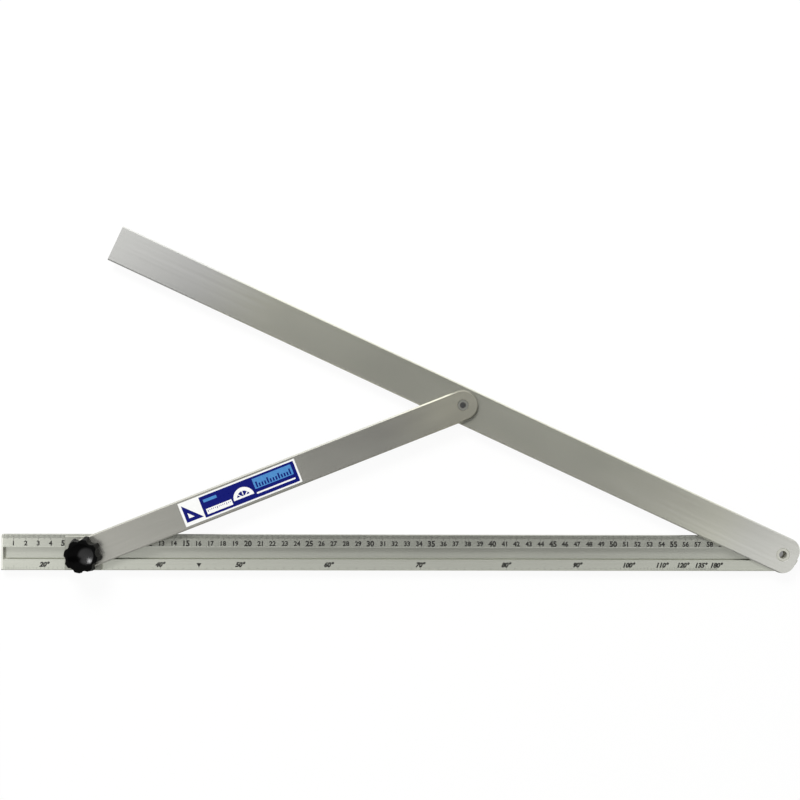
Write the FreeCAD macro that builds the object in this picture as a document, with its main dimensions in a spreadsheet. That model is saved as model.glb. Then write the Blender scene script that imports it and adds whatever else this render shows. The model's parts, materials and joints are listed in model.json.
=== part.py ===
import FreeCAD, Part
import math
import os
import re

import Sketcher

# Folding angle rule: a slotted scale rule, a blade riveted to its right end and a strut that holds
# the blade open, clamped by a knob on an index plate that slides along the slot.
# Origin: axis of the main rivet, on the rule's underside. +X runs along the rule, away from the
# slide, +Y towards the side the blade opens to, +Z up. Millimetres and degrees.

# Driving dimensions

SIZES = {
    # linkage
    "pivot_span": 292.0,
    "rest_angle": 24.7,
    # slotted rule
    "rule_reach": 640.0,
    "rule_thick": 7.0,
    "scale_side": 15.0,
    "degree_side": 14.0,
    "scale_land": 0.5,
    "bevel_drop": 0.7,
    "degree_chamfer": 0.9,
    "foot_chamfer": 0.4,
    "mouth_wide": 10.0,
    "lip_thick": 1.8,
    "cavity_wide": 15.0,
    "cavity_tall": 3.2,
    # cap on the rule's far end
    "cap_wall": 1.6,
    "cap_prong": 2.2,
    "cap_round": 0.35,
    # blade
    "blade_gap": 5.6,
    "blade_tail": 12.4,
    "blade_wide": 30.0,
    "blade_thick": 3.0,
    "blade_corner": 11.0,
    "blade_chamfer": 1.0,
    # strut
    "strut_wide": 25.0,
    "strut_thick": 3.0,
    "strut_chamfer": 1.1,
    # hollow rivets
    "pivot_bore": 6.5,
    "pivot_shell": 0.75,
    "pivot_flare": 1.2,
    "strut_bore": 5.0,
    "strut_shell": 0.6,
    "strut_flare": 1.1,
    "flare_lip": 0.3,
    "washer_thick": 0.4,
    "pivot_washer_wide": 20.0,
    "strut_washer_wide": 18.0,
    # filler block in the slot's end
    "block_near": 10.0,
    "block_far": 20.0,
    # slide
    "index_reach": 16.4,
    "plate_tail": 13.0,
    "plate_inset": 0.6,
    "plate_chamfer": 0.6,
    "key_deep": 1.5,
    "nut_half": 12.0,
    "nut_chamfer": 0.8,
    # clamp
    "stud_wide": 6.0,
    "stud_grip": 8.0,
    "thread_core": 5.0,
    "clamp_washer_wide": 16.0,
    "clamp_washer_thick": 1.2,
    "insert_wide": 11.0,
    "insert_tall": 9.0,
    "knob_tall": 14.8,
    "knob_hub_wide": 18.0,
    "knob_hub_tall": 1.4,
    "knob_skirt_wide": 30.0,
    "knob_top_wide": 27.0,
    "knob_crown": 1.2,
    "lobe_count": 8.0,
    "lobe_turn": -101.0,
    "flute_deep": 3.1,
    "flute_wide": 9.0,
    "flute_round": 1.1,
    "cap_wide": 21.0,
    "cap_thick": 2.2,
    "cap_rim": 0.5,
    "cap_dish": 1.3,
    # printed sticker on the strut
    "label_long": 101.0,
    "label_wide": 20.0,
    "label_thick": 0.15,
    "label_start": 144.0,
    # fits
    "slip": 0.05,
    "stud_slip": 0.25,
    "open_gap": 0.3,
    "shut_gap": 0.4,
}


def derived(s):
    """Sizes and places that follow from the driving dimensions."""
    d = {}
    # shut, the index plate stands a little short of the cap, and the blade short of the plate
    shut = s["rule_reach"] - s["cap_wall"] - s["shut_gap"] - s["index_reach"]
    d["strut_span"] = shut - s["pivot_span"]
    d["blade_reach"] = shut - s["plate_tail"] - s["blade_gap"]
    turn = math.radians(s["rest_angle"])
    reach = s["pivot_span"] * math.sin(turn)
    lean = math.asin(reach / d["strut_span"])
    d["strut_lean"] = math.degrees(lean)
    d["strut_eye_x"] = -s["pivot_span"] * math.cos(turn)
    d["strut_eye_y"] = reach
    d["slide_x"] = d["strut_eye_x"] - d["strut_span"] * math.cos(lean)
    d["cavity_floor"] = s["rule_thick"] - s["lip_thick"] - s["cavity_tall"]
    d["end_centre"] = (s["scale_side"] - s["degree_side"]) / 2
    d["end_round"] = (s["scale_side"] + s["degree_side"]) / 2
    d["pivot_washer_z"] = s["rule_thick"] + s["slip"]
    d["blade_z"] = d["pivot_washer_z"] + s["washer_thick"] + s["slip"]
    d["blade_top"] = d["blade_z"] + s["blade_thick"]
    d["strut_washer_z"] = d["blade_top"] + s["slip"]
    d["strut_z"] = d["strut_washer_z"] + s["washer_thick"] + s["slip"]
    d["strut_top"] = d["strut_z"] + s["strut_thick"]
    d["pivot_wall"] = s["pivot_bore"] / 2 + s["pivot_shell"]
    d["pivot_hole"] = d["pivot_wall"] + s["slip"]
    d["strut_wall"] = s["strut_bore"] / 2 + s["strut_shell"]
    d["strut_hole"] = d["strut_wall"] + s["slip"]
    d["stud_hole"] = s["stud_wide"] / 2 + s["stud_slip"]
    d["plate_z"] = s["rule_thick"] + s["slip"]
    d["plate_top"] = d["strut_z"] - s["slip"]
    d["key_z"] = s["rule_thick"] - s["key_deep"]
    d["nut_z"] = d["cavity_floor"] + s["slip"]
    d["nut_shoulder"] = s["rule_thick"] - s["lip_thick"] - s["slip"]
    d["nut_top"] = d["key_z"] - s["slip"]
    d["clamp_z"] = d["strut_top"] + s["clamp_washer_thick"]
    d["knob_z"] = d["clamp_z"] + s["slip"]
    d["stud_tip"] = d["plate_top"] + s["open_gap"]
    d["flute_pitch"] = (s["knob_skirt_wide"] - 2 * s["flute_deep"] + s["flute_wide"]) / 2
    return d


# Document and spreadsheet

doc = FreeCAD.newDocument("angle_rule")
sheet = doc.addObject("Spreadsheet::Sheet", "Sizes")
VALUES = dict(SIZES)
VALUES.update(derived(SIZES))
for row, (name, value) in enumerate(VALUES.items(), start=1):
    sheet.set(f"A{row}", name)
    sheet.set(f"B{row}", repr(value))
    sheet.setAlias(f"B{row}", name)
doc.recompute()


# Sketch and feature helpers

def qualified(text):
    """An expression over sheet aliases, with each alias led by the sheet's name."""
    def lead(match):
        word = match.group()
        return "Sizes." + word if word in VALUES else word
    return re.sub(r"[a-z]\w*", lead, text)


def number(text):
    """The value of an expression over sheet aliases."""
    return float(sheet.evalExpression(qualified(text)))


def bind(item, **places):
    """Binds properties to expressions; a double underscore stands for a dot."""
    for key, text in places.items():
        item.setExpression(key.replace("__", "."), qualified(text))


def new_body(label, x="0", y="0", z="0", turn="0"):
    body = doc.addObject("PartDesign::Body", label)
    body.Label = label
    body.Placement.Rotation = FreeCAD.Rotation(FreeCAD.Vector(0, 0, 1), number(turn))
    body.Placement.Base = FreeCAD.Vector(number(x), number(y), number(z))
    bind(body, Placement__Base__x=x, Placement__Base__y=y, Placement__Base__z=z)
    if turn != "0":
        body.setExpression("Placement.Rotation.Angle", qualified(turn) + " * 1deg")
    return body


def new_sketch(body, plane, name, lift="0"):
    """A sketch on one of the body's origin planes, lifted along the plane's normal."""
    sketch = body.newObject("Sketcher::SketchObject", name)
    support = [o for o in body.Origin.OriginFeatures if o.Role == plane + "_Plane"][0]
    sketch.AttachmentSupport = [(support, "")]
    sketch.MapMode = "FlatFace"
    if lift != "0":
        sketch.AttachmentOffset.Base = FreeCAD.Vector(0, 0, number(lift))
        bind(sketch, AttachmentOffset__Base__z=lift)
    return sketch


def fix_point(sketch, edge, end, x, y):
    """Fixes a point of an edge at x, y from the sketch's origin."""
    for kind, text, axis in (("DistanceX", x, -2), ("DistanceY", y, -1)):
        if text == "0":
            sketch.addConstraint(Sketcher.Constraint("PointOnObject", edge, end, axis))
        else:
            rule = Sketcher.Constraint(kind, -1, 1, edge, end, number(text))
            index = sketch.addConstraint(rule)
            sketch.setExpression(f"Constraints[{index}]", qualified(text))


def fix_radius(sketch, edge, radius):
    index = sketch.addConstraint(Sketcher.Constraint("Radius", edge, number(radius)))
    sketch.setExpression(f"Constraints[{index}]", qualified(radius))


def shallow_arc(start, finish, radius, hollow):
    """The shorter arc from start to finish, bulging to the right of the way, or left if hollow."""
    chord = finish - start
    half = chord.Length / 2
    sag = math.sqrt(max(radius * radius - half * half, 0.0))
    side = FreeCAD.Vector(-chord.y, chord.x, 0).normalize() * (-1 if hollow else 1)
    centre = start + chord / 2 + side * sag
    peak = centre - side * radius
    return Part.Arc(start, peak, finish)


def outline(sketch, *corners):
    """A closed outline of straight runs and arcs, drawn anticlockwise. A corner is (x, y), or
    (x, y, radius) where an arc that bulges outwards leaves it, or (x, y, radius, "hollow")."""
    first = sketch.GeometryCount
    count = len(corners)
    points = [FreeCAD.Vector(number(c[0]), number(c[1]), 0) for c in corners]
    for i, corner in enumerate(corners):
        start = points[i]
        finish = points[(i + 1) % count]
        if len(corner) > 2:
            arc = shallow_arc(start, finish, number(corner[2]), "hollow" in corner)
            sketch.addGeometry(arc, False)
        else:
            sketch.addGeometry(Part.LineSegment(start, finish), False)
    # an arc's own ends run anticlockwise, so a hollow one is entered at its second end
    entry = [2 if "hollow" in corner else 1 for corner in corners]
    for i, corner in enumerate(corners):
        ahead = (i + 1) % count
        ends = (first + i, 3 - entry[i], first + ahead, entry[ahead])
        sketch.addConstraint(Sketcher.Constraint("Coincident", *ends))
    for i, corner in enumerate(corners):
        fix_point(sketch, first + i, entry[i], corner[0], corner[1])
        if len(corner) > 2:
            fix_radius(sketch, first + i, corner[2])


def rectangle(sketch, left, right, low, high):
    outline(sketch, (left, low), (right, low), (right, high), (left, high))


def circle(sketch, x, y, radius):
    centre = FreeCAD.Vector(number(x), number(y), 0)
    axis = FreeCAD.Vector(0, 0, 1)
    edge = sketch.addGeometry(Part.Circle(centre, axis, number(radius)), False)
    fix_point(sketch, edge, 3, x, y)
    fix_radius(sketch, edge, radius)


def pad(body, sketch, length):
    feature = body.newObject("PartDesign::Pad", sketch.Name + "_pad")
    feature.Profile = sketch
    bind(feature, Length=length)
    doc.recompute()
    return feature


def cut(body, sketch, depth=None, upward=True):
    """A pocket, through everything or to a depth. It must take material away."""
    before = body.Shape.Volume
    feature = body.newObject("PartDesign::Pocket", sketch.Name + "_cut")
    feature.Profile = sketch
    feature.Reversed = upward
    if depth is None:
        feature.Type = "ThroughAll"
    else:
        bind(feature, Length=depth)
    doc.recompute()
    if body.Shape.Volume >= before:
        raise RuntimeError(sketch.Name + " takes nothing away")
    return feature


def turn_solid(body, sketch, kind="Revolution"):
    """A full turn of the sketch about its own vertical axis."""
    feature = body.newObject("PartDesign::" + kind, sketch.Name + "_turn")
    feature.Profile = sketch
    feature.ReferenceAxis = (sketch, ["V_Axis"])
    feature.Angle = 360
    doc.recompute()
    return feature


def edges_where(body, wanted):
    """Names of the body's edges whose bounding box passes the test."""
    shape = body.Tip.Shape
    return [f"Edge{i}" for i, edge in enumerate(shape.Edges, start=1) if wanted(edge)]


def dress(body, kind, name, size, wanted):
    """A chamfer or fillet on the edges that pass the test."""
    names = edges_where(body, wanted)
    if not names:
        raise RuntimeError(name + " finds no edge")
    feature = body.newObject("PartDesign::" + kind, name)
    feature.Base = (body.Tip if body.Tip != feature else feature.BaseFeature, names)
    if kind == "Chamfer":
        bind(feature, Size=size)
    else:
        bind(feature, Radius=size)
    doc.recompute()
    return feature


def near(value, text):
    return abs(value - number(text)) < 1e-4


def ring_at(z, radius, x="0", y="0"):
    """Test for a circular edge at a height, with a radius and a centre in plan."""
    def wanted(edge):
        curve = edge.Curve
        if not isinstance(curve, Part.Circle):
            return False
        centre = curve.Center
        in_plan = near(centre.x, x) and near(centre.y, y)
        return in_plan and near(centre.z, z) and near(curve.Radius, radius)
    return wanted


def level_at(z):
    """Test for an edge that lies flat at a height."""
    def wanted(edge):
        box = edge.BoundBox
        return near(box.ZMin, z) and near(box.ZMax, z)
    return wanted


# Slotted rule

def rule_outline(sketch, with_slot):
    """Cross-section of the rule, seen from its right end: +Y to the right, +Z up."""
    corners = [
        ("-degree_side + foot_chamfer", "0"),
        ("scale_side - foot_chamfer", "0"),
        ("scale_side", "foot_chamfer"),
        ("scale_side", "rule_thick - bevel_drop"),
        ("mouth_wide / 2 + scale_land", "rule_thick"),
    ]
    if with_slot:
        corners += [
            ("mouth_wide / 2", "rule_thick"),
            ("mouth_wide / 2", "rule_thick - lip_thick"),
            ("cavity_wide / 2", "rule_thick - lip_thick"),
            ("cavity_wide / 2", "cavity_floor"),
            ("-cavity_wide / 2", "cavity_floor"),
            ("-cavity_wide / 2", "rule_thick - lip_thick"),
            ("-mouth_wide / 2", "rule_thick - lip_thick"),
            ("-mouth_wide / 2", "rule_thick"),
        ]
    corners += [
        ("-degree_side + degree_chamfer", "rule_thick"),
        ("-degree_side", "rule_thick - degree_chamfer"),
        ("-degree_side", "foot_chamfer"),
    ]
    outline(sketch, *corners)


def base_rule():
    body = new_body("base_rule")
    profile = new_sketch(body, "YZ", "rule_profile", "-rule_reach + cap_wall")
    rule_outline(profile, with_slot=True)
    pad(body, profile, "rule_reach - cap_wall + end_round")

    plan = new_sketch(body, "XY", "rule_plan")
    rectangle(plan, "-rule_reach - 5", "end_round + 5", "-degree_side - 5", "scale_side + 5")
    outline(
        plan,
        ("-rule_reach", "-degree_side"),
        ("0", "-degree_side", "end_round"),
        ("end_round", "end_centre", "end_round"),
        ("0", "scale_side"),
        ("-rule_reach", "scale_side"),
    )
    cut(body, plan)

    hole = new_sketch(body, "XY", "rule_rivet_hole")
    circle(hole, "0", "0", "pivot_hole")
    cut(body, hole)
    dress(body, "Chamfer", "rule_countersink", "pivot_flare + flare_lip", ring_at("0", "pivot_hole"))
    return body


def end_cap():
    """Cap over the rule's end, held by two prongs that press into the slot's sides."""
    body = new_body("end_cap", x="-rule_reach")
    profile = new_sketch(body, "YZ", "cap_profile")
    rule_outline(profile, with_slot=False)
    pad(body, profile, "cap_wall")
    prongs = new_sketch(body, "YZ", "cap_prongs", "cap_wall")
    for side in ("-", "+"):
        edges = (f"{side}(cavity_wide / 2 - slip)", f"{side}(mouth_wide / 2 + slip)")
        left, right = sorted(edges, key=number)
        rectangle(prongs, left, right, "cavity_floor + slip", "nut_shoulder")
    pad(body, prongs, "cap_prong")

    def outer_face(edge):
        box = edge.BoundBox
        return box.XMax < 1e-4 and box.ZMin > number("foot_chamfer") - 1e-4
    dress(body, "Fillet", "cap_soft_edge", "cap_round", outer_face)
    return body


def pivot_block():
    """Block that fills the slot under the blade's rivet and stops the slide nut."""
    body = new_body("pivot_block")
    profile = new_sketch(body, "YZ", "block_profile", "-block_far")
    outline(
        profile,
        ("-cavity_wide / 2 + slip", "cavity_floor + slip"),
        ("cavity_wide / 2 - slip", "cavity_floor + slip"),
        ("cavity_wide / 2 - slip", "nut_shoulder"),
        ("mouth_wide / 2 - slip", "nut_shoulder"),
        ("mouth_wide / 2 - slip", "rule_thick"),
        ("-mouth_wide / 2 + slip", "rule_thick"),
        ("-mouth_wide / 2 + slip", "nut_shoulder"),
        ("-cavity_wide / 2 + slip", "nut_shoulder"),
    )
    pad(body, profile, "block_far + block_near")
    hole = new_sketch(body, "XY", "block_rivet_hole")
    circle(hole, "0", "0", "pivot_hole")
    cut(body, hole)
    return body


# Blade and strut

def blade():
    body = new_body("blade", z="blade_z", turn="-rest_angle")
    profile = new_sketch(body, "YZ", "blade_profile", "-blade_reach")
    outline(
        profile,
        ("-blade_wide / 2", "0"),
        ("blade_wide / 2", "0"),
        ("blade_wide / 2", "blade_thick - blade_chamfer"),
        ("blade_wide / 2 - blade_chamfer", "blade_thick"),
        ("-blade_wide / 2 + blade_chamfer", "blade_thick"),
        ("-blade_wide / 2", "blade_thick - blade_chamfer"),
    )
    pad(body, profile, "blade_reach + blade_tail")

    plan = new_sketch(body, "XY", "blade_plan")
    rectangle(plan, "-blade_reach - 5", "blade_tail + 5", "-blade_wide", "blade_wide")
    outline(
        plan,
        ("-blade_reach", "-blade_wide / 2"),
        ("blade_tail - blade_corner", "-blade_wide / 2", "blade_corner"),
        ("blade_tail", "-blade_wide / 2 + blade_corner"),
        ("blade_tail", "blade_wide / 2 - blade_corner", "blade_corner"),
        ("blade_tail - blade_corner", "blade_wide / 2"),
        ("-blade_reach", "blade_wide / 2"),
    )
    cut(body, plan)

    holes = new_sketch(body, "XY", "blade_rivet_holes")
    circle(holes, "0", "0", "pivot_hole")
    circle(holes, "-pivot_span", "0", "strut_hole")
    cut(body, holes)
    size = "pivot_flare + flare_lip"
    dress(body, "Chamfer", "blade_top_countersink", size, ring_at("blade_thick", "pivot_hole"))
    size = "strut_flare + flare_lip"
    wanted = ring_at("0", "strut_hole", "-pivot_span")
    dress(body, "Chamfer", "blade_foot_countersink", size, wanted)
    return body


def strut():
    body = new_body("strut", "strut_eye_x", "strut_eye_y", "strut_z", "strut_lean")
    plan = new_sketch(body, "XY", "strut_plan")
    outline(
        plan,
        ("-strut_span", "-strut_wide / 2"),
        ("0", "-strut_wide / 2", "strut_wide / 2"),
        ("strut_wide / 2", "0", "strut_wide / 2"),
        ("0", "strut_wide / 2"),
        ("-strut_span", "strut_wide / 2", "strut_wide / 2"),
        ("-strut_span - strut_wide / 2", "0", "strut_wide / 2"),
    )
    pad(body, plan, "strut_thick")
    dress(body, "Chamfer", "strut_edge", "strut_chamfer", level_at("strut_thick"))
    holes = new_sketch(body, "XY", "strut_holes")
    circle(holes, "0", "0", "strut_hole")
    circle(holes, "-strut_span", "0", "stud_hole")
    cut(body, holes)
    size = "strut_flare + flare_lip"
    dress(body, "Chamfer", "strut_countersink", size, ring_at("strut_thick", "strut_hole"))
    return body


def label():
    """Sticker on the strut, square to it."""
    body = new_body("label", "strut_eye_x", "strut_eye_y", "strut_top", "strut_lean")
    plan = new_sketch(body, "XY", "label_plan")
    left = "-label_start - label_long"
    rectangle(plan, left, "-label_start", "-label_wide / 2", "label_wide / 2")
    pad(body, plan, "label_thick")
    return body


# Hollow rivets and their washers

def hollow_rivet(name, foot, x, y, bore, wall, flare, low, high):
    """A tube with both ends flared into countersinks, flush with the faces it joins."""
    body = new_body(name, x, y, foot)
    profile = new_sketch(body, "XZ", name + "_profile")
    rim = f"{wall} + {flare}"
    tall = f"{high} - {low}"
    outline(
        profile,
        (f"{bore} / 2", "0"),
        (rim, "0"),
        (rim, "flare_lip"),
        (wall, f"flare_lip + {flare}"),
        (wall, f"{tall} - flare_lip - {flare}"),
        (rim, f"{tall} - flare_lip"),
        (rim, tall),
        (f"{bore} / 2", tall),
    )
    turn_solid(body, profile)
    return body


def washer(name, x, y, z, hole, width, thick):
    body = new_body(name, x, y, z)
    plan = new_sketch(body, "XY", name + "_plan")
    circle(plan, "0", "0", width + " / 2")
    circle(plan, "0", "0", hole)
    pad(body, plan, thick)
    return body


def rivets():
    hollow_rivet("pivot_eyelet", "0", "0", "0", "pivot_bore", "pivot_wall", "pivot_flare",
                 "0", "blade_top")
    hollow_rivet("strut_eyelet", "blade_z", "strut_eye_x", "strut_eye_y", "strut_bore",
                 "strut_wall", "strut_flare", "blade_z", "strut_top")
    washer("pivot_washer", "0", "0", "pivot_washer_z", "pivot_hole", "pivot_washer_wide",
           "washer_thick")
    washer("strut_washer", "strut_eye_x", "strut_eye_y", "strut_washer_z", "strut_hole",
           "strut_washer_wide", "washer_thick")


# Slide

def index_plate():
    """Plate across the rule. Its left edge reads the angle, and its key keeps it square."""
    body = new_body("index_plate", x="slide_x")
    profile = new_sketch(body, "YZ", "plate_profile", "-index_reach")
    outline(
        profile,
        ("-mouth_wide / 2 + slip", "key_z"),
        ("mouth_wide / 2 - slip", "key_z"),
        ("mouth_wide / 2 - slip", "plate_z"),
        ("scale_side - plate_inset", "plate_z"),
        ("scale_side - plate_inset", "plate_top - plate_chamfer"),
        ("scale_side - plate_inset - plate_chamfer", "plate_top"),
        ("-degree_side + plate_inset + plate_chamfer", "plate_top"),
        ("-degree_side + plate_inset", "plate_top - plate_chamfer"),
        ("-degree_side + plate_inset", "plate_z"),
        ("-mouth_wide / 2 + slip", "plate_z"),
    )
    pad(body, profile, "index_reach + plate_tail")

    def cross_edge(edge):
        box = edge.BoundBox
        return box.XLength < 1e-4 and near(box.ZMin, "plate_top")
    dress(body, "Chamfer", "plate_cross_edges", "plate_chamfer", cross_edge)
    hole = new_sketch(body, "XY", "plate_stud_hole")
    circle(hole, "0", "0", "stud_hole")
    cut(body, hole)
    return body


def slide_nut():
    """T nut that the stud pulls up against the slot's lips."""
    body = new_body("slide_nut", x="slide_x")
    profile = new_sketch(body, "YZ", "nut_profile", "-nut_half")
    outline(
        profile,
        ("-cavity_wide / 2 + slip", "nut_z"),
        ("cavity_wide / 2 - slip", "nut_z"),
        ("cavity_wide / 2 - slip", "nut_shoulder"),
        ("mouth_wide / 2 - slip", "nut_shoulder"),
        ("mouth_wide / 2 - slip", "nut_top"),
        ("-mouth_wide / 2 + slip", "nut_top"),
        ("-mouth_wide / 2 + slip", "nut_shoulder"),
        ("-cavity_wide / 2 + slip", "nut_shoulder"),
    )
    pad(body, profile, "2 * nut_half")

    def upright_corner(edge):
        box = edge.BoundBox
        upright = box.XLength < 1e-4 and box.YLength < 1e-4
        return upright and near(box.ZMin, "nut_z")
    dress(body, "Chamfer", "nut_corners", "nut_chamfer", upright_corner)
    hole = new_sketch(body, "XY", "nut_thread")
    circle(hole, "0", "0", "thread_core / 2")
    cut(body, hole)
    return body


# Clamp

def clamp_parts():
    washer("clamp_washer", "slide_x", "0", "strut_top", "stud_hole", "clamp_washer_wide",
           "clamp_washer_thick")

    stud = new_body("knob_stud", x="slide_x")
    profile = new_sketch(stud, "XZ", "stud_profile")
    shank = "stud_wide / 2"
    rectangle(profile, "0", shank, "stud_tip", "knob_z + stud_grip")
    turn_solid(stud, profile)

    insert = new_body("knob_insert", x="slide_x", z="knob_z")
    profile = new_sketch(insert, "XZ", "insert_profile")
    outline(
        profile,
        (shank, "0"),
        ("insert_wide / 2", "0"),
        ("insert_wide / 2", "insert_tall"),
        ("0", "insert_tall"),
        ("0", "stud_grip"),
        (shank, "stud_grip"),
    )
    turn_solid(insert, profile)


def knob():
    """Moulded star knob: a tapered drum with a hub below, fluted into eight lobes."""
    body = new_body("knob", x="slide_x", z="knob_z", turn="lobe_turn")
    profile = new_sketch(body, "XZ", "knob_profile")
    bore = "insert_wide / 2 + slip"
    roof = "insert_tall + slip"
    outline(
        profile,
        (bore, "0"),
        ("knob_hub_wide / 2", "0"),
        ("knob_hub_wide / 2", "knob_hub_tall"),
        ("knob_skirt_wide / 2", "knob_hub_tall"),
        ("knob_top_wide / 2", "knob_tall - knob_crown", "knob_crown"),
        ("knob_top_wide / 2 - knob_crown", "knob_tall"),
        ("cap_wide / 2", "knob_tall"),
        ("cap_wide / 2", "knob_tall - cap_thick"),
        ("0", "knob_tall - cap_thick"),
        ("0", roof),
        (bore, roof),
    )
    turn_solid(body, profile)

    flute = new_sketch(body, "XY", "knob_flute")
    middle = "180 / lobe_count"
    circle(flute, f"flute_pitch * cos({middle})", f"flute_pitch * sin({middle})",
           "flute_wide / 2")
    first = cut(body, flute)
    pattern = body.newObject("PartDesign::PolarPattern", "knob_flutes")
    pattern.Originals = [first]
    pattern.Axis = (flute, ["N_Axis"])
    pattern.Angle = 360
    bind(pattern, Occurrences="lobe_count")
    body.Tip = pattern
    doc.recompute()

    def lobe_edge(edge):
        box = edge.BoundBox
        low = near(box.ZMin, "knob_hub_tall")
        return low and near(box.ZMax, "knob_tall - knob_crown") and box.ZLength > 1
    dress(body, "Fillet", "knob_lobes", "flute_round", lobe_edge)
    return body


def knob_cap():
    """Dished disc pressed into the knob's top."""
    body = new_body("knob_cap", x="slide_x", z="knob_z + knob_tall - cap_thick")
    profile = new_sketch(body, "XZ", "cap_disc_profile")
    inner = "cap_wide / 2 - cap_rim"
    hollow = f"(({inner}) ^ 2 + cap_dish ^ 2) / (2 * cap_dish)"
    outline(
        profile,
        ("0", "0"),
        ("cap_wide / 2", "0"),
        ("cap_wide / 2", "cap_thick"),
        (inner, "cap_thick", hollow, "hollow"),
        ("0", "cap_thick - cap_dish"),
    )
    turn_solid(body, profile)
    return body


# Build, check and write

base_rule()
end_cap()
pivot_block()
blade()
strut()
label()
rivets()
index_plate()
slide_nut()
clamp_parts()
knob()
knob_cap()
doc.recompute()

for item in doc.Objects:
    if "Invalid" in item.State or "Error" in item.State:
        raise RuntimeError(f"{item.Name} failed: {item.State}")

os.makedirs("parts", exist_ok=True)
for body in doc.findObjects("PartDesign::Body"):
    shape = body.Shape
    if shape.isNull() or not shape.isValid():
        raise RuntimeError(body.Label + " has no valid shape")
    shape.exportStep(f"parts/{body.Label}.step")
    box = shape.BoundBox
    print(f"{body.Label:14} {shape.Volume:11.1f} solids {len(shape.Solids)}"
          f"  x {box.XMin:8.2f} {box.XMax:8.2f}  y {box.YMin:7.2f} {box.YMax:7.2f}"
          f"  z {box.ZMin:6.2f} {box.ZMax:6.2f}")
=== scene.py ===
import json
import math

import bpy
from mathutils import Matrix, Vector


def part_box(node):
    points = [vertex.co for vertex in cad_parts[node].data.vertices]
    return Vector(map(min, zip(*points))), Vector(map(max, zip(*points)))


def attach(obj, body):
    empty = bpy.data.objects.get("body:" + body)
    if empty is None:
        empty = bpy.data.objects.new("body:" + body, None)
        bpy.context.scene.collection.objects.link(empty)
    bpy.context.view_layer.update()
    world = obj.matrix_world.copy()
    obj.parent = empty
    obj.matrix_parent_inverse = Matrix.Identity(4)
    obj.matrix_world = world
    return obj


# Folding angle rule: a slotted scale rule, a blade riveted to its right end and a strut clamped
# to a slide by a star knob. Metres; +X runs along the rule away from the slide, +Y towards the
# side the blade opens to, +Z up.

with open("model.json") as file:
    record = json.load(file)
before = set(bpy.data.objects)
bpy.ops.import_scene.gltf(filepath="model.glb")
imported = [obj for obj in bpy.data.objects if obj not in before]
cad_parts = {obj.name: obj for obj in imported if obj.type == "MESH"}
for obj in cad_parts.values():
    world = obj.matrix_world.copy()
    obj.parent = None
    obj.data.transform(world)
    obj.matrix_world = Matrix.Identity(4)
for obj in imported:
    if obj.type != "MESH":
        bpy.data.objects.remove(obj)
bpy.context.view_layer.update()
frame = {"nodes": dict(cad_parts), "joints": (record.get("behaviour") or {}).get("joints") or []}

MM = 0.001

# Places and sizes read from the frame

JOINTS = {joint["name"]: joint for joint in frame["joints"]}
MAIN_PIVOT = Vector(JOINTS["blade_open"]["pos_m"])
STRUT_PIVOT = Vector(JOINTS["strut_open"]["pos_m"])
KNOB_LOW, KNOB_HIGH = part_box("knob_stud")
SLIDE = (KNOB_LOW + KNOB_HIGH) / 2
PIVOT_SPAN = (STRUT_PIVOT - MAIN_PIVOT).xy.length
STRUT_SPAN = (SLIDE - STRUT_PIVOT).xy.length
BLADE_TURN = -math.atan2(STRUT_PIVOT.y, -STRUT_PIVOT.x)
STRUT_LEAN = math.atan2(STRUT_PIVOT.y - SLIDE.y, STRUT_PIVOT.x - SLIDE.x)
RULE_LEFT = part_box("end_cap")[0].x
RULE_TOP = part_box("base_rule")[1].z
SCALE_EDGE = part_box("base_rule")[1].y
DEGREE_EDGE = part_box("base_rule")[0].y
DISC = Vector((SLIDE.x, SLIDE.y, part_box("knob_cap")[1].z))
INDEX_REACH = SLIDE.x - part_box("index_plate")[0].x
LABEL_LOW, LABEL_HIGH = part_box("label")
LABEL_CENTRE = (LABEL_LOW + LABEL_HIGH) / 2
LABEL_TOP = LABEL_HIGH.z
STRUT_TOP_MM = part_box("strut")[1].z / MM

# Printed scales

PRINT = 0.02 * MM
SCALE_LONG_CM = 60
BEVEL_WIDE = 9.5 * MM
BEVEL_DROP = 0.7 * MM
BEVEL_SLOPE = -math.atan2(BEVEL_DROP, BEVEL_WIDE)
TICK_WIDE = 0.32 * MM
NUMERAL_ROW = 8.1 * MM
NUMERAL_SIZE = 5.3 * MM
FIVE_SIZE = 6.2 * MM
DEGREE_ROW = -9.1 * MM
DEGREE_SIZE = 5.3 * MM
DEGREE_LAND = DEGREE_EDGE + 1.0 * MM
DEGREE_LABELS = (20, 30, 40, 50, 60, 70, 80, 90, 100, 110, 120, 135, 180)
DEGREE_LAST = 180
LEAST_TICK_GAP = 0.55 * MM
MARKED_ANGLE = 45

# Camera, from the places of the rule's ticks and of both pivots in the photograph

CAMERA_PLACE = Vector((-0.35163, 0.14018, 1.13663))
CAMERA_TILT = (math.radians(-0.733), math.radians(-1.780), math.radians(0.321))
CAMERA_LENS_MM = 62.16

# Studio, with the floor just under the rule

FLOOR_LEVEL = -1 * MM
FLOOR_SHOWN_WHITE = 0.88


# Materials

def linear(code):
    """An sRGB hex colour as linear red, green, blue and alpha."""
    parts = [int(code[i:i + 2], 16) / 255 for i in (1, 3, 5)]
    curve = [p / 12.92 if p <= 0.04045 else ((p + 0.055) / 1.055) ** 2.4 for p in parts]
    return (*curve, 1.0)


def add(tree, kind, inputs=None, **settings):
    """Adds a node with its settings; each input is given a value or another node's socket."""
    item = tree.nodes.new("ShaderNode" + kind)
    for key, value in settings.items():
        setattr(item, key, value)
    for place, value in (inputs or {}).items():
        if isinstance(value, bpy.types.NodeSocket):
            tree.links.new(value, item.inputs[place])
        else:
            item.inputs[place].default_value = value
    return item


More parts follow.
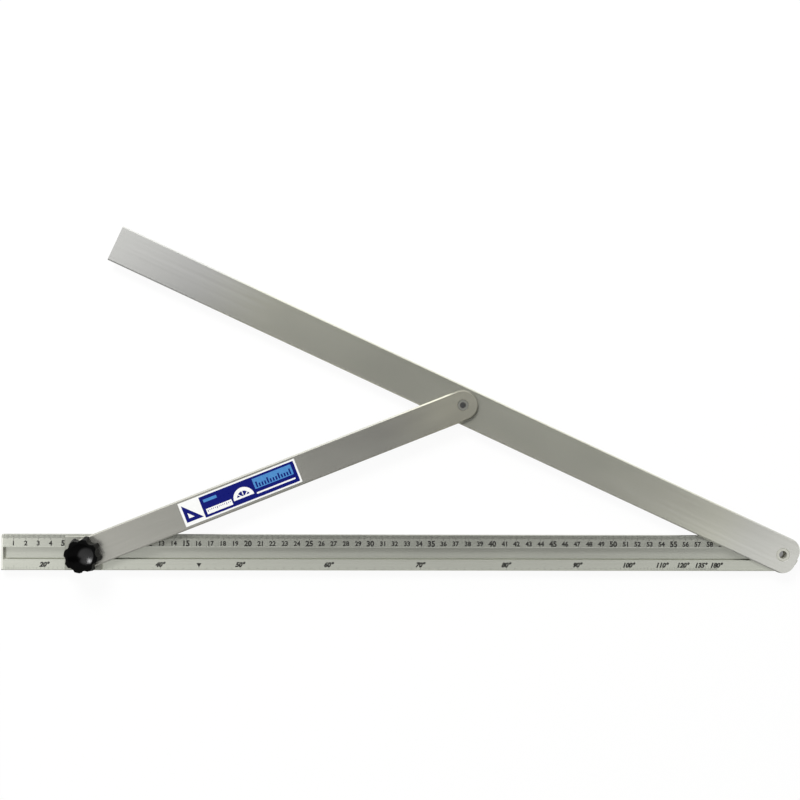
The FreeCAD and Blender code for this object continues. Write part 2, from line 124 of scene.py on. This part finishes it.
def start(name):
    finish = bpy.data.materials.new(name)
    finish.use_nodes = True
    finish.node_tree.nodes.clear()
    return finish, finish.node_tree


def end(tree, colour, rough, normal=None, **own):
    """The surface shader: colour and roughness come from the pattern, the rest are its own
    values."""
    inputs = {"Base Color": colour, "Roughness": rough}
    if normal is not None:
        inputs["Normal"] = normal
    inputs.update({key.replace("_", " "): value for key, value in own.items()})
    shader = add(tree, "BsdfPrincipled", inputs)
    add(tree, "OutputMaterial", {"Surface": shader.outputs["BSDF"]})


def along(tree, centre, turn):
    """Object coordinates with X along the piece from centre, turned from the row's X axis."""
    place = add(tree, "TexCoord")
    moved = add(tree, "VectorMath", {0: place.outputs["Object"], 1: (centre.x, centre.y, 0.0)},
                operation="SUBTRACT")
    return add(tree, "VectorRotate", {"Vector": moved.outputs[0], "Angle": -turn},
               rotation_type="Z_AXIS").outputs[0]


def stretched_noise(tree, place, line_mm, width_mm, detail=2.0):
    """Noise in streaks of a given length along X and width across, from 0 to 1."""
    scale = (1000 / line_mm, 1000 / width_mm, 1000 / width_mm)
    mapped = add(tree, "Mapping", {"Vector": place, "Scale": scale})
    return add(tree, "TexNoise", {"Vector": mapped.outputs[0], "Scale": 1.0, "Detail": detail})


def patch(tree, place, centre, near_mm, far_mm, inside, outside):
    """One value within a distance of a place and another beyond it."""
    off = add(tree, "VectorMath", {0: place, 1: centre}, operation="DISTANCE")
    return add(tree, "MapRange", {"Value": off.outputs["Value"], "From Min": near_mm * MM,
                                  "From Max": far_mm * MM, "To Min": inside,
                                  "To Max": outside}).outputs[0]


def duller_below(tree, place, colour, height_mm, share):
    """The colour, and a given share of it below a height: painted shade in a groove or on a rim."""
    height = add(tree, "SeparateXYZ", {0: place}).outputs["Z"]
    kept = add(tree, "MapRange", {"Value": height, "From Min": height_mm * MM,
                                  "From Max": (height_mm + 0.1) * MM, "To Min": share})
    return add(tree, "VectorMath", {0: colour, "Scale": kept.outputs[0]},
               operation="SCALE").outputs[0]


def worn(tree, place, colour, from_mm, to_mm, tint, light):
    """Painted light and shade: the colour with its tint and its light changed slowly between two
    places along the piece, to follow the tones of the photographed bars."""
    reach = add(tree, "SeparateXYZ", {0: place}).outputs["X"]
    way = {"Value": reach, "From Min": from_mm * MM, "From Max": to_mm * MM}
    tint = add(tree, "MapRange", {**way, "To Min": tint[0], "To Max": tint[1]},
               interpolation_type="SMOOTHSTEP")
    light = add(tree, "MapRange", {**way, "To Min": light[0], "To Max": light[1]},
                interpolation_type="SMOOTHSTEP")
    return add(tree, "HueSaturation", {"Saturation": tint.outputs[0], "Value": light.outputs[0],
                                       "Color": colour}).outputs[0]


def brushed(name, deep, bright, rough, centre, turn, streak_mm, cloud_mm, bump_mm, painted_low_shade=None,
            painted_light_and_shade=()):
    """Aluminium brushed along its length. The brush leaves hairlines, drawn here about a
    millimetre wide so that they show, and handling leaves broad faint clouds in the sheen. A
    fifth of the light is scattered by the anodised film, which lets the shadows of other pieces
    show. The low shade, painted shade below a height, is given as that height, the share of the
    colour kept below it and the two places along the piece between which that share sets in.
    Stretches of painted light and shade change the tint and lightness along the piece."""
    finish, tree = start(name)
    place = along(tree, centre, turn)
    streak = stretched_noise(tree, place, streak_mm, 1.1, 3.0)
    cloud = stretched_noise(tree, place, cloud_mm, cloud_mm / 3)
    mixed = add(tree, "MapRange", {"Value": streak.outputs["Fac"], "From Min": 0.3,
                                   "From Max": 0.7})
    hue = add(tree, "Mix", {0: mixed.outputs[0], 6: linear(deep), 7: linear(bright)},
              data_type="RGBA")
    low, high = rough
    sheen = add(tree, "MapRange", {"Value": cloud.outputs["Fac"], "From Min": 0.3,
                                   "From Max": 0.7, "To Min": low, "To Max": high})
    relief = add(tree, "Bump", {"Height": streak.outputs["Fac"], "Strength": 0.1,
                                "Distance": bump_mm * MM})
    colour = hue.outputs[2]
    # Painted shade below a height, then painted light and shade in stretches along the piece
    if painted_low_shade:
        height_mm, share, from_mm, to_mm = painted_low_shade
        reach = add(tree, "SeparateXYZ", {0: place}).outputs["X"]
        share = add(tree, "MapRange", {"Value": reach, "From Min": from_mm * MM,
                                       "From Max": to_mm * MM, "To Min": 1.0, "To Max": share})
        colour = duller_below(tree, place, colour, height_mm, share.outputs[0])
    for stretch in painted_light_and_shade:
        colour = worn(tree, place, colour, *stretch)
    end(tree, colour, sheen.outputs[0], relief.outputs[0], Metallic=0.8)
    return finish


def anodised_extrusion():
    """Satin anodised aluminium extrusion: pale grey, with faint die lines along the rule, and
    with painted shade that darkens it down in the slot."""
    return brushed("anodised_extrusion", "#DEE0D3", "#E4E6DA", (0.17, 0.21), MAIN_PIVOT, 0.0,
                   180, 90, 0.01, painted_low_shade=(5.1, 0.92, -700, -650))


def brushed_blade():
    """Brushed flat bar: the glossiest piece, light where it mirrors the studio's sides. Its tint
    and lightness along it are painted light and shade; both its ends are a neutral grey."""
    return brushed("brushed_blade_aluminium", "#E9E9DC", "#F0F0E4", (0.15, 0.18), MAIN_PIVOT,
                   BLADE_TURN, 120, 110, 0.012,
                   painted_light_and_shade=[(-540, -460, (0.3, 1.2), (0.91, 1.0)),
                         (-300, -240, (1.0, 1.0), (1.0, 1.08)),
                         (-70, -20, (1.0, 0.5), (1.0, 0.93))])


def satin_strut():
    """Satin flat bar, duller than the blade. Its end at the rivet is lighter and more saturated
    with painted light, and the chamfer round that end is darkened with painted shade."""
    return brushed("satin_strut_aluminium", "#C5C4BB", "#CBCAC1", (0.20, 0.24), STRUT_PIVOT,
                   STRUT_LEAN, 70, 60, 0.01, painted_low_shade=(STRUT_TOP_MM - 0.15, 0.4, -10, -2),
                   painted_light_and_shade=[(-80, -10, (1.0, 1.7), (1.0, 1.25))])


def milled_plate():
    """Milled aluminium plate: cutter lines run across the rule."""
    return brushed("milled_plate_aluminium", "#B6B7AC", "#C2C3B9", (0.36, 0.44), SLIDE,
                   math.pi / 2, 20, 30, 0.015)


def sawn_block():
    """Sawn aluminium filler, left rough."""
    return brushed("sawn_block_aluminium", "#9C9D96", "#B0B1AA", (0.50, 0.60), MAIN_PIVOT,
                   math.pi / 2, 8, 12, 0.03)


def speckled(name, deep, bright, rough, grain_mm, relief_mm, clear=None, painted_light_and_shade=(), **own):
    """A moulded, plated or turned surface: fine grain in colour, sheen and relief. It mirrors more
    in one clear patch if wanted, a painted reflection, and may have painted light and shade along
    it."""
    finish, tree = start(name)
    place = add(tree, "TexCoord").outputs["Object"]
    grain = stretched_noise(tree, place, grain_mm, grain_mm, 4.0)
    hue = add(tree, "Mix", {0: grain.outputs["Fac"], 6: linear(deep), 7: linear(bright)},
              data_type="RGBA")
    low, high = rough
    sheen = add(tree, "MapRange", {"Value": grain.outputs["Fac"], "To Min": low, "To Max": high})
    relief = add(tree, "Bump", {"Height": grain.outputs["Fac"], "Strength": 0.3,
                                "Distance": relief_mm * MM})
    colour = hue.outputs[2]
    for stretch in painted_light_and_shade:
        colour = worn(tree, place, colour, *stretch)
    if clear:
        own["Specular_IOR_Level"] = patch(tree, place, *clear)
    end(tree, colour, sheen.outputs[0], relief.outputs[0], **own)
    return finish


def finishes():
    """Every material, by the record's slot or the ink's name."""
    return {
        "rule_aluminium": anodised_extrusion(),
        "blade_aluminium": brushed_blade(),
        "strut_aluminium": satin_strut(),
        "plate_aluminium": milled_plate(),
        "block_aluminium": sawn_block(),
        # Moulded white ABS: slightly warm, satin, with a faint mould grain
        "cap_plastic": speckled("white_abs_cap", "#D4D4CA", "#DEDED5", (0.40, 0.50), 1.2, 0.02),
        # Natural nylon sheet: milky and soft in sheen
        "nylon": speckled("natural_nylon", "#DAD8CC", "#E8E6DC", (0.40, 0.50), 2.0, 0.01),
        # Nickel-plated brass rivets: warm grey and satin, with small tool marks; the strut's
        # rivet is darkened with painted shade
        "rivet_metal": speckled("nickel_plated_rivet", "#DADACE", "#E4E4DA", (0.40, 0.50), 0.8,
                                0.01, painted_light_and_shade=[(-200, -100, (1.0, 1.0), (0.36, 1.0))], Metallic=0.6),
        # Zinc-plated steel: cool grey with a cloudy, slightly mottled plating
        "steel": speckled("zinc_plated_steel", "#9EA0A0", "#B4B6B6", (0.30, 0.45), 1.5, 0.01,
                          Metallic=1.0),
        # Turned brass: yellow, with fine tool lines
        "insert_brass": speckled("turned_brass", "#B08A45", "#C79F56", (0.25, 0.35), 0.6, 0.01,
                                 Metallic=1.0),
        # Moulded black nylon: very dark with a low satin sheen, finely rippled by the mould
        "knob_plastic": speckled("black_moulded_nylon", "#010101", "#040404", (0.40, 0.50), 2.5,
                                 0.02, Specular_IOR_Level=0.08),
        # Polished black ABS disc: black, but for a clear patch on its right that mirrors the room
        # and the lamp, as the photographed disc looks
        # The clear patch on the right is a painted reflection, placed by position on the disc
        "cap_disc": speckled("polished_abs_disc", "#020202", "#060606", (0.14, 0.17), 3.0, 0.01,
                             clear=(DISC + Vector((4.5, 0.3, 0.0)) * MM, 5.6, 7.4, 0.62, 0.05)),
        # Glossy vinyl sticker film
        "label_print": speckled("white_vinyl", "#E6E7E4", "#EEEEEC", (0.30, 0.38), 3.0, 0.01),
        # Screen-printed inks on the sticker, even and glossy with a little mottle
        "blue_ink": speckled("navy_blue_ink", "#020A60", "#04106E", (0.25, 0.32), 1.5, 0.01,
                             Specular_IOR_Level=0.25),
        "sky_ink": speckled("sky_blue_ink", "#3A74B2", "#508EC6", (0.25, 0.32), 1.5, 0.01),
        # Baked black enamel that fills the etched scale lines
        "scale_ink": speckled("black_scale_enamel", "#1C1C19", "#2C2C28", (0.50, 0.65), 0.5, 0.01),
    }


# Modelling helpers

def clear_selection():
    bpy.ops.object.select_all(action="DESELECT")


def settle(name, finish, body):
    """Names the active piece, sets its place into its mesh and gives it its finish and body."""
    piece = bpy.context.object
    bpy.ops.object.transform_apply(location=True, rotation=True, scale=True)
    piece.name = name
    piece.data.name = name
    piece.data.materials.clear()
    piece.data.materials.append(finish)
    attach(piece, body)
    return piece


def thicken():
    """Gives the active flat piece the print's thickness, with faces pointing outwards."""
    bpy.ops.object.mode_set(mode="EDIT")
    bpy.ops.mesh.select_all(action="SELECT")
    bpy.ops.mesh.extrude_region_shrink_fatten(TRANSFORM_OT_shrink_fatten={"value": PRINT})
    bpy.ops.mesh.select_all(action="SELECT")
    bpy.ops.mesh.normals_make_consistent(inside=False)
    bpy.ops.object.mode_set(mode="OBJECT")


def join_all(pieces):
    clear_selection()
    for piece in pieces:
        piece.select_set(True)
    bpy.context.view_layer.objects.active = pieces[0]
    if len(pieces) > 1:
        bpy.ops.object.join()


# Scales on the rule

def on_rule(x, y):
    """A place on the rule's face and the face's slope there: level, or falling to the scale edge."""
    past = max(0.0, y - (SCALE_EDGE - BEVEL_WIDE))
    drop = BEVEL_DROP * past / BEVEL_WIDE
    return (x, y, RULE_TOP - drop), (BEVEL_SLOPE if past else 0.0, 0.0, 0.0)


def flat_line(x, low, high, wide=TICK_WIDE):
    """A thin line across the rule's face from low to high."""
    clear_selection()
    place, slope = on_rule(x, (low + high) / 2)
    bpy.ops.mesh.primitive_plane_add(size=1, location=place, rotation=slope)
    line = bpy.context.object
    line.scale = (wide, high - low, 1)
    bpy.ops.object.transform_apply(location=False, rotation=False, scale=True)
    thicken()
    return line


def repeat(line, pitch, count):
    bpy.context.view_layer.objects.active = line
    line.select_set(True)
    bpy.ops.object.transform_apply(location=True, rotation=True, scale=True)
    row = line.modifiers.new("row", "ARRAY")
    row.count = count
    row.use_relative_offset = False
    row.use_constant_offset = True
    row.constant_offset_displace = (pitch, 0, 0)
    bpy.ops.object.modifier_apply(modifier=row.name)


def centimetre_ticks(ink):
    """Millimetre ticks at the scale edge, longer at each five and ten."""
    high = SCALE_EDGE - 0.15 * MM
    for name, pitch_mm, reach in (("tick_millimetre", 1, 2.8), ("tick_half_centimetre", 5, 3.4),
                                  ("tick_centimetre", 10, 4.0)):
        line = flat_line(RULE_LEFT + pitch_mm * MM, high - reach * MM, high)
        repeat(line, pitch_mm * MM, SCALE_LONG_CM * 10 // pitch_mm)
        settle(name, ink, "rule")


def numeral(word, x, y, size, weight=0.0, slant=0.0):
    """A printed word centred on a place of the rule's face."""
    clear_selection()
    place, slope = on_rule(x, y)
    bpy.ops.object.text_add(location=place)
    text = bpy.context.object
    text.data.body = word
    text.data.size = size
    text.data.offset = weight
    text.data.shear = slant
    text.data.extrude = PRINT
    text.data.resolution_u = 3
    bpy.ops.object.convert(target="MESH")
    bpy.ops.object.origin_set(type="ORIGIN_GEOMETRY", center="BOUNDS")
    mesh = bpy.context.object
    mesh.location = place
    mesh.rotation_euler = slope
    return mesh


def centimetre_numerals(ink):
    for name, size, weight, wanted in (("numeral", NUMERAL_SIZE, 0.21 * MM, lambda n: n % 5),
                                       ("numeral_five", FIVE_SIZE, 0.28 * MM,
                                        lambda n: not n % 5)):
        row = [numeral(str(n), RULE_LEFT + n * 10 * MM, NUMERAL_ROW, size, weight)
               for n in range(1, SCALE_LONG_CM + 1) if wanted(n)]
        join_all(row)
        settle(name, ink, "rule")


def index_place(angle):
    """Where the index plate's left edge stands on the rule when the blade is at an angle."""
    turn = math.radians(angle)
    rise = PIVOT_SPAN * math.sin(turn)
    return -PIVOT_SPAN * math.cos(turn) - math.sqrt(STRUT_SPAN ** 2 - rise ** 2) - INDEX_REACH


def degree_scale(ink):
    """A tick at each degree where there is room, longer at five and ten, with its labels."""
    lines = []
    last = index_place(0) - 1
    for angle in range(5, DEGREE_LAST + 1):
        x = index_place(angle)
        reach = 3.0 if angle % 10 == 0 else 2.2 if angle % 5 == 0 else 1.4
        crowded = x - last < LEAST_TICK_GAP
        if crowded and angle % 10:
            continue
        lines.append(flat_line(x, DEGREE_LAND, DEGREE_LAND + reach * MM, 0.16 * MM))
        last = x
    join_all(lines)
    settle("tick_degree", ink, "rule")
    words = [numeral(f"{angle}°", index_place(angle), DEGREE_ROW, DEGREE_SIZE, 0.3 * MM, 0.3)
             for angle in DEGREE_LABELS]
    join_all(words)
    settle("numeral_degree", ink, "rule")


def marked_angle(ink):
    """A solid pointer that marks 45 degrees."""
    clear_selection()
    place = (index_place(MARKED_ANGLE), DEGREE_ROW, RULE_TOP)
    bpy.ops.mesh.primitive_circle_add(vertices=3, radius=2.3 * MM, fill_type="NGON",
                                      location=place, rotation=(0, 0, math.pi))
    thicken()
    settle("pointer_45", ink, "rule")


# Sticker on the strut

def on_label(u_mm, v_mm, layer=0):
    """A place on the sticker, along and across the strut from the sticker's middle."""
    u, v = u_mm * MM, v_mm * MM
    cos, sin = math.cos(STRUT_LEAN), math.sin(STRUT_LEAN)
    return (LABEL_CENTRE.x + u * cos - v * sin, LABEL_CENTRE.y + u * sin + v * cos,
            LABEL_TOP + layer * PRINT)


def panel(u, v, long, tall, layer, corner=0.0, turn=0.0):
    """A printed rectangle on the sticker, its corners rounded or turned in plan if wanted."""
    clear_selection()
    bpy.ops.mesh.primitive_plane_add(size=1, location=on_label(u, v, layer),
                                     rotation=(0, 0, STRUT_LEAN + math.radians(turn)))
    piece = bpy.context.object
    piece.scale = (long * MM, tall * MM, 1)
    bpy.ops.object.transform_apply(location=False, rotation=False, scale=True)
    if corner:
        bpy.ops.object.mode_set(mode="EDIT")
        bpy.ops.mesh.select_all(action="SELECT")
        bpy.ops.mesh.bevel(offset=corner * MM, affect="VERTICES", segments=4)
        bpy.ops.object.mode_set(mode="OBJECT")
    thicken()
    return piece


def halved(u, v, turn, width, layer):
    """Keeps the half of the active flat piece on one side of a line through a place of the
    sticker, leaves a frame of the given width or all of it, and gives it the print's thickness."""
    way = STRUT_LEAN + math.radians(turn)
    bpy.ops.object.transform_apply(location=True, rotation=True, scale=True)
    bpy.ops.object.mode_set(mode="EDIT")
    bpy.ops.mesh.select_all(action="SELECT")
    bpy.ops.mesh.bisect(plane_co=on_label(u, v, layer), plane_no=(math.cos(way), math.sin(way), 0),
                        clear_inner=True)
    bpy.ops.mesh.select_all(action="SELECT")
    if width:
        bpy.ops.mesh.inset(thickness=width * MM)
        bpy.ops.mesh.delete(type="FACE")
    bpy.ops.object.mode_set(mode="OBJECT")
    thicken()
    return bpy.context.object


def protractor(u, v, radius, rise, layer):
    """A round piece kept above a line that runs a little over its centre."""
    clear_selection()
    bpy.ops.mesh.primitive_circle_add(vertices=48, radius=radius * MM, fill_type="NGON",
                                      location=on_label(u, v, layer),
                                      rotation=(0, 0, STRUT_LEAN))
    return halved(u, v + rise, 90, 0, layer)


def set_square(u, v, leg, width, layer):
    clear_selection()
    bpy.ops.mesh.primitive_plane_add(size=leg * MM, location=on_label(u, v, layer),
                                     rotation=(0, 0, STRUT_LEAN))
    return halved(u, v, -135, width, layer)


def printed(name, ink, *pieces):
    join_all(pieces)
    settle(name, ink, "strut")


def sticker(inks):
    """A plain print for a drawing tool: a set square, a scale, a protractor and a pale panel."""
    blue, sky, white = inks["blue_ink"], inks["sky_ink"], inks["label_print"]
    printed("sticker_field", blue, panel(8, 0, 82, 17.4, 0, 0.6))
    printed("sticker_set_square", blue, set_square(-41.3, 0.2, 14.5, 2.9, 0))
    printed("sticker_ruler", white, panel(-19.5, -4.4, 22, 4.6, 1, 0.3))
    printed("sticker_ruler_ticks", blue,
            *[panel(-29.2 + 1.6 * i, -3.1 - (0.5 if i % 5 else 0.9), 0.5, 1.0 if i % 5 else 1.8, 2)
              for i in range(13)])
    printed("sticker_note", sky, panel(-24.5, 4.6, 11.5, 2.4, 1, 0.3))
    printed("sticker_protractor", white, protractor(1.8, -4.9, 8.8, 0.3, 1))
    printed("sticker_protractor_opening", blue, protractor(1.8, -4.9, 5.8, 1.9, 2))
    printed("sticker_protractor_rays", white,
            *[panel(1.8 + 4.2 * math.cos(math.radians(a)), -4.9 + 4.2 * math.sin(math.radians(a)),
                    3.2, 0.8, 3, 0.0, a) for a in (45, 90, 135)])
    printed("sticker_panel", sky, panel(29.4, 2.6, 33.5, 8.6, 1, 0.4))
    printed("sticker_panel_ticks", blue,
            *[panel(15.0 + 2.4 * i, -0.9 + (1.5 if i % 4 else 2.4), 1.3, 3.0 if i % 4 else 4.8, 2)
              for i in range(13)])
    printed("sticker_line", white, panel(29.4, -5.2, 33.5, 1.3, 1, 0.3))


# Studio

def under_bore(tree, place, pivot):
    """1 on the floor straight under a rivet at rest, where the floor takes a painted shade, and 0
    elsewhere.
    """
    return patch(tree, place, (pivot.x, pivot.y, FLOOR_LEVEL), 7, 8, 1.0, 0.0)


def floor():
    """Pale paper floor, shown nearly white to the eye with a trace of the part's shadow. Down the
    rivets' bores it glows with a painted shade, darker the more the arms above hide it: grey
    under the main rivet and darker under the strut's, and white again once the arms have moved
    away. From below the eye sees through it to the part's underside."""
    finish, tree = start("pale_paper_floor")
    place = add(tree, "TexCoord").outputs["Object"]
    grain = stretched_noise(tree, place, 3, 3)
    hue = add(tree, "Mix", {0: grain.outputs["Fac"], 6: linear("#BCBCBA"), 7: linear("#C4C4C2")},
              data_type="RGBA")
    paper = add(tree, "BsdfDiffuse", {"Color": hue.outputs[2]})
    glow = add(tree, "Emission", {"Color": linear("#FFFFFF"), "Strength": 1.06})
    ray = add(tree, "LightPath")
    seen = add(tree, "Math", {0: ray.outputs["Is Camera Ray"],
                              1: ray.outputs["Is Transmission Ray"]}, operation="MAXIMUM")
    share = add(tree, "Math", {0: seen.outputs[0], 1: FLOOR_SHOWN_WHITE}, operation="MULTIPLY")
    both = add(tree, "MixShader", {0: share.outputs[0], 1: paper.outputs[0], 2: glow.outputs[0]})
    # Painted shade down the rivets' bores: a glow that dims where the arms above hide the floor
    sky = add(tree, "AmbientOcclusion", {"Distance": 30 * MM}, samples=8)
    least = patch(tree, place, (MAIN_PIVOT.x, MAIN_PIVOT.y, 0.0), 20, 30, 0.24, 0.06)
    painted_bore_tone = add(tree, "MapRange", {"Value": sky.outputs["AO"], "From Min": 0.4, "From Max": 0.65,
                                 "To Min": least, "To Max": 1.0})
    painted_bore_shade = add(tree, "Emission", {"Color": linear("#FFFFFF"), "Strength": painted_bore_tone.outputs[0]})
    bores = add(tree, "Math", {0: under_bore(tree, place, MAIN_PIVOT),
                               1: under_bore(tree, place, STRUT_PIVOT)}, operation="MAXIMUM")
    down = add(tree, "Math", {0: seen.outputs[0], 1: bores.outputs[0]}, operation="MULTIPLY")
    both = add(tree, "MixShader", {0: down.outputs[0], 1: both.outputs[0], 2: painted_bore_shade.outputs[0]})
    below = add(tree, "NewGeometry").outputs["Backfacing"]
    clear = add(tree, "BsdfTransparent")
    whole = add(tree, "MixShader", {0: below, 1: both.outputs[0], 2: clear.outputs[0]})
    add(tree, "OutputMaterial", {"Surface": whole.outputs[0]})
    clear_selection()
    bpy.ops.mesh.primitive_plane_add(size=8, location=(0.0, 0.0, FLOOR_LEVEL))
    bpy.ops.object.transform_apply(location=True, rotation=True, scale=True)
    plane = bpy.context.object
    plane.name = "floor"
    plane.data.materials.append(finish)


def studio_world():
    """Soft light from overhead with an oval dark patch where the camera stands. It falls off
    towards the horizon but for a bright window on the far side."""
    world = bpy.data.worlds.new("studio")
    bpy.context.scene.world = world
    world.use_nodes = True
    tree = world.node_tree
    tree.nodes.clear()
    way = add(tree, "TexCoord").outputs["Generated"]
    oval = add(tree, "Mapping", {"Vector": way, "Location": (-0.025, 0.015, 0.0),
                                 "Scale": (0.398, 1.0, 0.0)})
    off = add(tree, "VectorMath", {0: oval.outputs[0]}, operation="LENGTH")
    light = add(tree, "MapRange", {"Value": off.outputs["Value"], "From Min": 0.105,
                                   "From Max": 0.135, "To Min": 0.0, "To Max": 0.73},
                interpolation_type="SMOOTHSTEP").outputs[0]
    deep = add(tree, "SeparateXYZ", {0: way}).outputs["Y"]
    low = add(tree, "Mapping", {"Vector": way, "Scale": (1.0, 1.0, 0.0)})
    low = add(tree, "VectorMath", {0: low.outputs[0]}, operation="LENGTH").outputs["Value"]
    for along_way, edge, far, share in ((low, 0.45, 1.0, 0.4), (deep, -0.2, -0.8, 0.25),
                                        (deep, 0.65, 0.95, 6.0)):
        side = add(tree, "MapRange", {"Value": along_way, "From Min": edge, "From Max": far,
                                      "To Min": 1.0, "To Max": share})
        light = add(tree, "Math", {0: light, 1: side.outputs[0]}, operation="MULTIPLY").outputs[0]
    ray = add(tree, "LightPath")
    shown = add(tree, "Mix", {0: ray.outputs["Is Camera Ray"], 2: light, 3: 1.0})
    glow = add(tree, "Background", {"Color": linear("#FFFFFF"), "Strength": shown.outputs[0]})
    add(tree, "OutputWorld", {"Surface": glow.outputs[0]})


def lamp(name, place, aim, size, watts):
    bpy.ops.object.light_add(type="AREA", location=place)
    item = bpy.context.object
    item.name = name
    item.data.shape = "DISK"
    item.data.size = size
    item.data.energy = watts
    item.rotation_mode = "QUATERNION"
    item.rotation_quaternion = (aim - item.location).to_track_quat("-Z", "Y")
    return item


def lamps():
    """A soft key from the far side, which throws the slot's and the arms' shadows and isn't
    mirrored in the metal, and a small lamp from the left, which the knob's disc mirrors."""
    key = lamp("key", (-0.9, 1.5, 1.6), Vector((-0.3, 0.05, 0.0)), 0.8, 42)
    key.visible_glossy = False
    lamp("left_lamp", (-1.256, 0.05, 1.13), SLIDE, 0.2, 1.1)


def camera():
    bpy.ops.object.camera_add(location=CAMERA_PLACE, rotation=CAMERA_TILT)
    view = bpy.context.object
    view.name = "photo_camera"
    view.data.sensor_width = 36
    view.data.lens = CAMERA_LENS_MM
    view.data.clip_start = 0.05
    bpy.context.scene.camera = view


# The scene

def dress_nodes(materials):
    """Gives every CAD node the finish of its slot."""
    slots = {
        "rule_aluminium": ["base_rule"],
        "blade_aluminium": ["blade"],
        "strut_aluminium": ["strut"],
        "plate_aluminium": ["index_plate"],
        "block_aluminium": ["pivot_block"],
        "cap_plastic": ["end_cap"],
        "nylon": ["pivot_washer", "strut_washer"],
        "rivet_metal": ["pivot_eyelet", "strut_eyelet"],
        "steel": ["clamp_washer", "knob_stud", "slide_nut"],
        "insert_brass": ["knob_insert"],
        "knob_plastic": ["knob"],
        "cap_disc": ["knob_cap"],
        "label_print": ["label"],
    }
    for slot, names in slots.items():
        for name in names:
            node = frame["nodes"][name]
            node.data.materials.clear()
            node.data.materials.append(materials[slot])


materials = finishes()
dress_nodes(materials)
centimetre_ticks(materials["scale_ink"])
centimetre_numerals(materials["scale_ink"])
degree_scale(materials["scale_ink"])
marked_angle(materials["scale_ink"])
sticker(materials)
floor()
studio_world()
lamps()
camera()
bpy.context.scene.view_settings.view_transform = "Standard"
